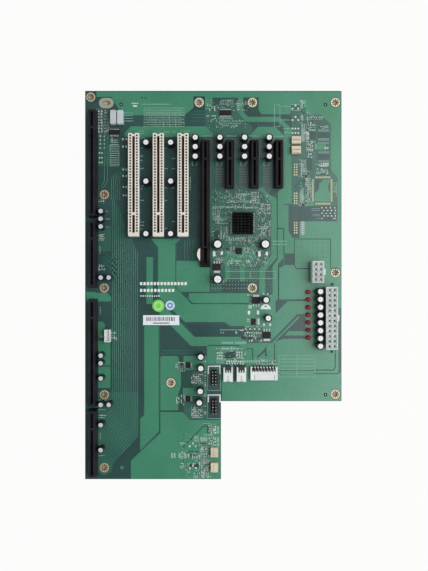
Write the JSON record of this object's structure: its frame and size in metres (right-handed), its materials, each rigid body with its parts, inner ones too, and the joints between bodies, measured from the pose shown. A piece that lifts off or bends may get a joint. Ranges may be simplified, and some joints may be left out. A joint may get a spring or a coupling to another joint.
{
  "type": "passive backplane",
  "caption": "L-shaped green circuit board with ivory and black expansion card slots, host slots along one edge, power sockets, round capacitors and small headers.",
  "frame": {"origin": "centre of the board's outline, at the tips of the pin tails it lies on", "axes": "+X to the right, +Y towards the card bracket edge, +Z out of the component side"},
  "size_m": [0.2146, 0.325, 0.0158],
  "materials": {
    "green_board": "green solder mask over copper, satin",
    "black_plastic": "moulded black, satin",
    "ivory_plastic": "moulded ivory, satin",
    "white_nylon": "natural white nylon",
    "cream_plastic": "moulded cream, satin",
    "tinned_pin": "tin plated",
    "can_sleeve": "black sleeve with a bare metal end",
    "red_lamp": "tinted clear red",
    "black_anodised": "black anodised",
    "chip_epoxy": "moulded black epoxy",
    "grey_pad": "soft grey",
    "white_label": "matt white",
    "green_label": "gloss green",
    "blue_label": "gloss pale blue"
  },
  "bodies": {
    "root": {"aux_power_pins": "tinned_pin", "aux_power_socket": "white_nylon", "blue_sticker": "blue_label", "bridge_chip": "chip_epoxy", "bulk_capacitors": "can_sleeve", "card_retainer": "black_plastic", "choke": "chip_epoxy", "circuit_board": "green_board", "clock_chip": "chip_epoxy", "cream_wafer_1": "cream_plastic", "cream_wafer_2": "cream_plastic", "cream_wafer_3": "cream_plastic", "cream_wafer_4": "cream_plastic", "cream_wafer_feet": "tinned_pin", "driver_chip_1": "chip_epoxy", "driver_chip_2": "chip_epoxy", "filter_capacitors": "can_sleeve", "green_sticker": "green_label", "heat_sink": "black_anodised", "host_capacitors": "can_sleeve", "host_slot_a": "black_plastic", "host_slot_b": "black_plastic", "host_slot_c": "black_plastic", "host_slot_d": "black_plastic", "indicator_lamps": "red_lamp", "ivory_slot_1": "ivory_plastic", "ivory_slot_2": "ivory_plastic", "ivory_slot_3": "ivory_plastic", "label_sticker": "white_label", "logic_chip": "chip_epoxy", "long_black_slot": "black_plastic", "main_power_pins": "tinned_pin", "main_power_socket": "white_nylon", "pin_header_1": "black_plastic", "pin_header_2": "black_plastic", "pin_header_pins": "tinned_pin", "regulator_1": "chip_epoxy", "regulator_2": "chip_epoxy", "regulator_3": "chip_epoxy", "regulator_capacitors": "can_sleeve", "regulator_tabs": "tinned_pin", "retainer_clip": "ivory_plastic", "short_black_slot_1": "black_plastic", "short_black_slot_2": "black_plastic", "short_black_slot_3": "black_plastic", "side_header_pins": "tinned_pin", "slot_capacitors": "can_sleeve", "small_header_1": "white_nylon", "small_header_2": "white_nylon", "switch_chip": "chip_epoxy", "thermal_pad": "grey_pad", "upright_wafer": "white_nylon", "white_wafer_1": "white_nylon", "white_wafer_2": "white_nylon", "white_wafer_pins": "tinned_pin", "wide_header": "white_nylon"}
  },
  "joints": []
}
